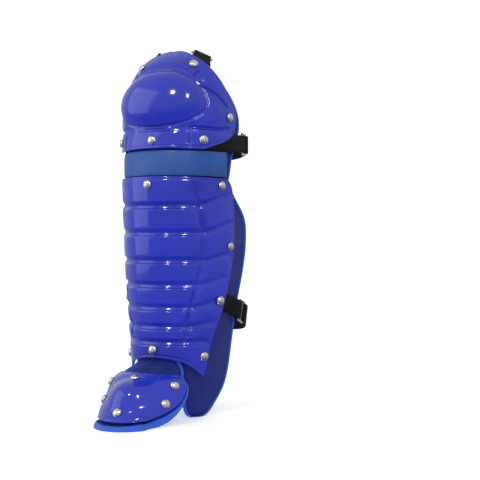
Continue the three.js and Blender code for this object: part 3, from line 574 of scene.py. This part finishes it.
# %% Narrow the toe's front
ROLL_BEGINS = -0.085  # only the toe's roll lies further forward
ROLL_LENGTH = 0.06
ROLL_TAPER = 0.09  # how much narrower it is at the front


def narrow_front(piece):
    for vertex in piece.data.vertices:
        vertex.co.x *= 1 - ROLL_TAPER * max(0.0, (ROLL_BEGINS - vertex.co.y) / ROLL_LENGTH)


# %% Toe pad with its brushed tongue
toe = working_copy("toe_pad", "toe_pad_cloth")
rounded(toe, 3, start=50, full=120, most=0.5)
pinch(toe, "toe_pad_binding", width=0.01, depth=0.0014, reach=0.0045)
narrow_front(toe)
waves(toe, size=0.03, depth=0.0009)
cloth_map(toe)
settle(toe, loop_finish, "toe_pad")

# %% [markdown]
# ## The bindings
# Bright woven tape is folded over the cut edge of each pad. The frame's strip already runs round
# the edge, so it is rounded, and fattened by about half a millimetre to press into the foam. A row
# of stitches runs along it on each face: where two faces of the strip meet sharply, thread is laid
# on the lap, a stitch every few millimetres.

# %% Lines of stitches
STITCH_LENGTH = 0.0021
STITCH_PITCH = 0.0034
STITCH_INSET = 0.0011  # from the tape's edge
STITCH_STRAY = 0.002  # no stitch is laid where the rounded tape is further off than this
STITCH_FLOOR = 0.0008  # nor where it would lie under the guard
STITCH_STANDS = 0.00008  # how far a stitch's middle stands off the tape
THREAD_RADIUS = 0.00028
TAPE_EDGE_ANGLE = math.radians(60)


def tape_edges(tape):
    """The sharp edges where a tape ends on the foam, each as (start, end, way onto the lap)."""
    shape = bmesh.new()
    shape.from_mesh(tape.data)
    found = []
    for edge in shape.edges:
        if len(edge.link_faces) != 2 or edge.calc_face_angle(0) < TAPE_EDGE_ANGLE:
            continue
        along = (edge.verts[1].co - edge.verts[0].co).normalized()
        # The lap is the narrower of the two faces, and the cut end the wider.
        lap = min(edge.link_faces, key=lambda face: face.calc_area())
        middle = (edge.verts[0].co + edge.verts[1].co) / 2
        onto = lap.calc_center_median() - middle
        onto -= along * onto.dot(along)
        found.append((edge.verts[0].co.copy(), edge.verts[1].co.copy(), onto.normalized()))
    shape.free()
    return found


def stitches(tape, edges):
    surface = BVHTree.FromPolygons(
        [v.co for v in tape.data.vertices], [tuple(f.vertices) for f in tape.data.polygons]
    )
    thread = bmesh.new()
    for start, end, onto in edges:
        count = int((end - start).length / STITCH_PITCH)
        for k in range(count):
            at = start.lerp(end, (k + 0.5) / count) + onto * STITCH_INSET
            place, normal, _, gap = surface.find_nearest(at)
            if gap > STITCH_STRAY or place.z < STITCH_FLOOR:
                continue
            turn = (end - start).to_track_quat("Z", "Y").to_matrix().to_4x4()
            shape = Matrix.Diagonal((1, 1, STITCH_LENGTH / THREAD_RADIUS / 2, 1))
            bmesh.ops.create_icosphere(
                thread, subdivisions=1, radius=THREAD_RADIUS,
                matrix=Matrix.Translation(place + normal * STITCH_STANDS) @ turn @ shape,
            )
    mesh = bpy.data.meshes.new(tape.name + "_stitches")
    thread.to_mesh(mesh)
    thread.free()
    mesh.materials.append(thread_finish.material)
    row = bpy.data.objects.new(tape.name + "_stitches", mesh)
    bpy.context.collection.objects.link(row)
    take(row)
    bpy.ops.object.shade_smooth()
    return row


# %% [markdown]
# At the toe the tape widens into a roll. Its underside is brought down where it turns the corner,
# and its points are evened out with Smooth Vertices, so that it runs on without a step.


# %% Shape the toe's roll
ROLL_SMOOTHING = 14
ROLL_SAG = 0.006  # how far the roll's underside comes down
SAG_BEGINS, SAG_LENGTH = ROLL_BEGINS + 0.03, 0.05


def sag_front(tape):
    moves = []
    for vertex in tape.data.vertices:
        forward = min(1.0, max(0.0, (SAG_BEGINS - vertex.co.y) / SAG_LENGTH))
        faces_down = max(0.0, 0.3 - vertex.normal.z)
        moves.append(Vector((0, 0, -ROLL_SAG * forward * faces_down)))
    shift(tape, moves)
    rest_on_floor(tape)


def rest_on_floor(piece):
    for vertex in piece.data.vertices:
        vertex.co.z = max(0.0, vertex.co.z)


# %% Edge bindings
FATTEN = 0.0006

for node in ("knee_pad_binding", "leg_liner_binding", "toe_pad_binding"):
    tape = working_copy(node, node + "_tape")
    edges = tape_edges(tape)
    rounded(tape, 2, start=70, full=140, most=0.4)
    sag_front(tape)
    narrow_front(tape)
    roll = [vertex.co.y < ROLL_BEGINS for vertex in tape.data.vertices]
    tape.data.polygons.foreach_set("select", [False] * len(tape.data.polygons))
    tape.data.edges.foreach_set("select", [False] * len(tape.data.edges))
    tape.data.vertices.foreach_set("select", roll)
    bpy.ops.object.mode_set(mode="EDIT")
    bpy.ops.mesh.vertices_smooth(factor=0.5, repeat=ROLL_SMOOTHING)
    bpy.ops.mesh.select_all(action="SELECT")
    bpy.ops.transform.shrink_fatten(value=FATTEN)
    bpy.ops.object.mode_set(mode="OBJECT")
    rest_on_floor(tape)
    tape.data.materials.append(binding_finish.material)
    row = stitches(tape, edges)
    take(tape)
    row.select_set(True)
    bpy.ops.object.join()
    cloth_map(tape)
    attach(tape, "root")
    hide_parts(node)
    print(tape.name, len(tape.data.polygons), "faces with", len(edges), "sewn edges")

# %% [markdown]
# ## The rivets
# A rivet head is a low dome with a small rim. One is raised from a disc by insetting its top face
# and lifting it, a step at a time, and it is then copied to every rivet of the frame.

# %% Model one rivet head
HEAD_RADIUS = 0.0061
HEAD_HEIGHT = 0.0032
RIM_HEIGHT = 0.0008
RIM_WIDTH = 0.00035
bpy.ops.object.select_all(action="DESELECT")
bpy.ops.mesh.primitive_cylinder_add(
    vertices=36, radius=HEAD_RADIUS, depth=RIM_HEIGHT, location=(0, 0, RIM_HEIGHT / 2)
)
pattern = bpy.context.object
bpy.ops.object.mode_set(mode="EDIT")
bpy.ops.mesh.select_mode(type="FACE")
bpy.ops.mesh.select_all(action="DESELECT")
shape = bmesh.from_edit_mesh(pattern.data)
top = max(shape.faces, key=lambda face: face.calc_center_median().z)
top.select = True
bmesh.update_edit_mesh(pattern.data)
bpy.ops.mesh.inset(thickness=RIM_WIDTH)
turns = [math.radians(a) for a in (0, 18, 36, 54, 72, 84)]
dome, crown = HEAD_RADIUS - RIM_WIDTH, HEAD_HEIGHT - RIM_HEIGHT
for low, high in zip(turns, turns[1:]):
    bpy.ops.mesh.inset(thickness=dome * (math.cos(low) - math.cos(high)))
    bpy.ops.transform.translate(value=(0, 0, crown * (math.sin(high) - math.sin(low))))
bpy.ops.object.mode_set(mode="OBJECT")
finish_modifier(pattern, "BEVEL", width=0.00022, segments=2, limit_method="ANGLE")
take(pattern)
bpy.ops.object.transform_apply(location=True)
bpy.ops.object.shade_smooth_by_angle(angle=math.radians(45))
print("one rivet head has", len(pattern.data.polygons), "faces")


# %% [markdown]
# The flat underside of a rivet in the frame is its largest flat face. The middle of that face is
# the rivet's seat, and the face's normal turned round is the way the head points.


# %% Find where each rivet sits
def seat_of(node):
    flats = {}
    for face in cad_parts[node].data.polygons:
        facing = tuple(round(x, 2) for x in face.normal)
        flats.setdefault(facing, []).append(face)
    flat = max(flats.values(), key=lambda faces: sum(face.area for face in faces))
    total = sum(face.area for face in flat)
    middle = sum((face.center * face.area for face in flat), Vector()) / total
    return middle, -flat[0].normal


for node in [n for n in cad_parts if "_rivet_" in n]:
    middle, away = seat_of(node)
    head = bpy.data.objects.new(node + "_head", pattern.data.copy())
    bpy.context.collection.objects.link(head)
    place = Matrix.Translation(middle) @ away.to_track_quat("Z", "Y").to_matrix().to_4x4()
    head.data.transform(place)
    settle(head, plate_finish, node)
bpy.data.objects.remove(pattern)

# %% [markdown]
# ## Straps and slides
# The webbing is woven flat, so only its corners are rounded. The slides and hook loops are cast,
# and a bevel takes the sharpness off their bars before they are plated.

# %% Webbing and metal
BAR_ANGLE = 0.9  # radians; the bars' corners turn by more, the ends' roundings by less

for strap in ("lower", "middle", "top"):
    for part in ("tab_right", "tab_left", "elastic"):
        node = f"strap_{strap}_{part}"
        web = working_copy(node, node + "_web")
        rounded(web, 2, start=60, full=85, most=0.85)
        cloth_map(web)
        settle(web, webbing_finish, node)
    for part in ("slide", "hook_loop"):
        node = f"strap_{strap}_{part}"
        metal = working_copy(node, node + "_metal")
        finish_modifier(
            metal, "BEVEL", width=0.0008, segments=3, limit_method="ANGLE", angle_limit=BAR_ANGLE
        )
        take(metal)
        bpy.ops.object.shade_smooth_by_angle(angle=math.radians(40))
        settle(metal, plate_finish, node)

# %% [markdown]
# ## The studio
# A white sheet hangs behind the guard and runs forward under it. It glows a little, as paper lit
# from behind does, so it stays white while the room is dim enough for the blue to be deep. The
# room is darker below than above, which the grooves' upper walls mirror. Three soft lights: a
# small one high in front makes the round glints on the knee and the ribs, a large dim one at the
# left the pale left side of every rib, and one at the right the short streaks there.

# %% Backdrop
SHEET_SIZE = 5
SHEET_HEIGHT = 3.5
SHEET_BEND = 1.6
FRONT_EDGE_IN = 1.9  # the table ends not far in front of the guard
AZIMUTH = math.radians(30)  # the camera's, to the right of the guard's front

bpy.ops.object.select_all(action="DESELECT")
bpy.ops.mesh.primitive_plane_add(size=SHEET_SIZE, location=(0, 0, 0))
floor = bpy.context.object
floor.name = "studio_floor"
bpy.ops.object.mode_set(mode="EDIT")
bpy.ops.mesh.select_mode(type="EDGE")


def select_edges(wanted):
    bpy.ops.mesh.select_all(action="DESELECT")
    sheet = bmesh.from_edit_mesh(floor.data)
    for edge in sheet.edges:
        edge.select = all(wanted(vertex.co) for vertex in edge.verts)
    bmesh.update_edit_mesh(floor.data)


select_edges(lambda place: place.y > 2)
bpy.ops.mesh.extrude_edges_move(TRANSFORM_OT_translate={"value": (0, 0, SHEET_HEIGHT)})
select_edges(lambda place: place.y < -2)
bpy.ops.transform.translate(value=(0, FRONT_EDGE_IN, 0))
select_edges(lambda place: place.y > 2 and place.z < 0.1)
bpy.ops.mesh.bevel(offset=SHEET_BEND, segments=24)
bpy.ops.object.mode_set(mode="OBJECT")
bpy.ops.object.shade_smooth()
floor.rotation_euler.z = AZIMUTH
floor_finish = Finish("studio_floor", Roughness=0.7, Emission_Strength=0.42)
floor_finish.shader.inputs["Base Color"].default_value = (0.86, 0.86, 0.87, 1)
floor_finish.shader.inputs["Emission Color"].default_value = (1, 1, 1, 1)
floor.data.materials.append(floor_finish.material)
floor.visible_glossy = False  # a bright floor would be mirrored in every downward facet

# %% [markdown]
# The room itself is the World: a colour that rises from grey below to white above, mixed by the
# height of the direction looked in.

# %% Room
ROOM_BELOW, ROOM_ABOVE = (0.22, 0.22, 0.24, 1), (1, 1, 1, 1)
world = bpy.context.scene.world or bpy.data.worlds.new("studio")
bpy.context.scene.world = world
world.use_nodes = True
sky = world.node_tree.nodes
way = sky.new("ShaderNodeTexCoord")
parts = sky.new("ShaderNodeSeparateXYZ")
rise = sky.new("ShaderNodeMapRange")
rise.inputs["From Min"].default_value = -0.6
rise.inputs["From Max"].default_value = 0.25
tone = sky.new("ShaderNodeMix")
tone.data_type = "RGBA"
tone.inputs[MIX_FIRST].default_value = ROOM_BELOW
tone.inputs[MIX_SECOND].default_value = ROOM_ABOVE
join = world.node_tree.links.new
join(way.outputs["Generated"], parts.inputs["Vector"])
join(parts.outputs["Z"], rise.inputs["Value"])
join(rise.outputs["Result"], tone.inputs[MIX_SHARE])
join(tone.outputs[MIX_RESULT], sky["Background"].inputs["Color"])
sky["Background"].inputs["Strength"].default_value = 0.6


# %% Lights
def soft_light(name, place, aim, size, watts):
    lamp = bpy.data.lights.new(name, "AREA")
    lamp.shape, lamp.size, lamp.size_y, lamp.energy = "RECTANGLE", size[0], size[1], watts
    light = bpy.data.objects.new(name, lamp)
    bpy.context.collection.objects.link(light)
    light.location = place
    light.rotation_mode = "QUATERNION"
    light.rotation_quaternion = (Vector(aim) - Vector(place)).to_track_quat("-Z", "Y")


soft_light("key", (0.1, -1.6, 1.9), (0, 0, 0.3), (0.22, 0.22), 9)
soft_light("window", (-1.6, -1.2, 0.9), (0, 0, 0.25), (1.7, 2.2), 10)
soft_light("side", (1.3, -1.15, 1.55), (0, 0, 0.25), (0.2, 0.35), 7)

# %% [markdown]
# The leg's axis falls 54 pixels left of the middle of a 480-pixel frame, so the camera, 1.5 m from
# it at 30 degrees to its right, is turned 3 degrees further right. It is level.

# %% Camera
DISTANCE = 1.5
EYE_HEIGHT = 0.245
FRAME_PIXELS = 480
FOCAL_PIXELS = 1034
ASIDE_PIXELS = 54
SENSOR_WIDTH = 36  # millimetres, as the lens is
back = Vector((math.sin(AZIMUTH), -math.cos(AZIMUTH), 0))
right = Vector((math.cos(AZIMUTH), math.sin(AZIMUTH), 0))
lens = bpy.data.cameras.new("photo_camera")
lens.sensor_width = SENSOR_WIDTH
lens.lens = FOCAL_PIXELS / FRAME_PIXELS * SENSOR_WIDTH
camera = bpy.data.objects.new("photo_camera", lens)
bpy.context.collection.objects.link(camera)
camera.location = Vector((LEG_AXIS.x, LEG_AXIS.y, EYE_HEIGHT)) + back * DISTANCE
look = -back * FOCAL_PIXELS + right * ASIDE_PIXELS
camera.rotation_mode = "QUATERNION"
camera.rotation_quaternion = look.to_track_quat("-Z", "Y")
bpy.context.scene.camera = camera
bpy.context.scene.view_settings.view_transform = "Standard"
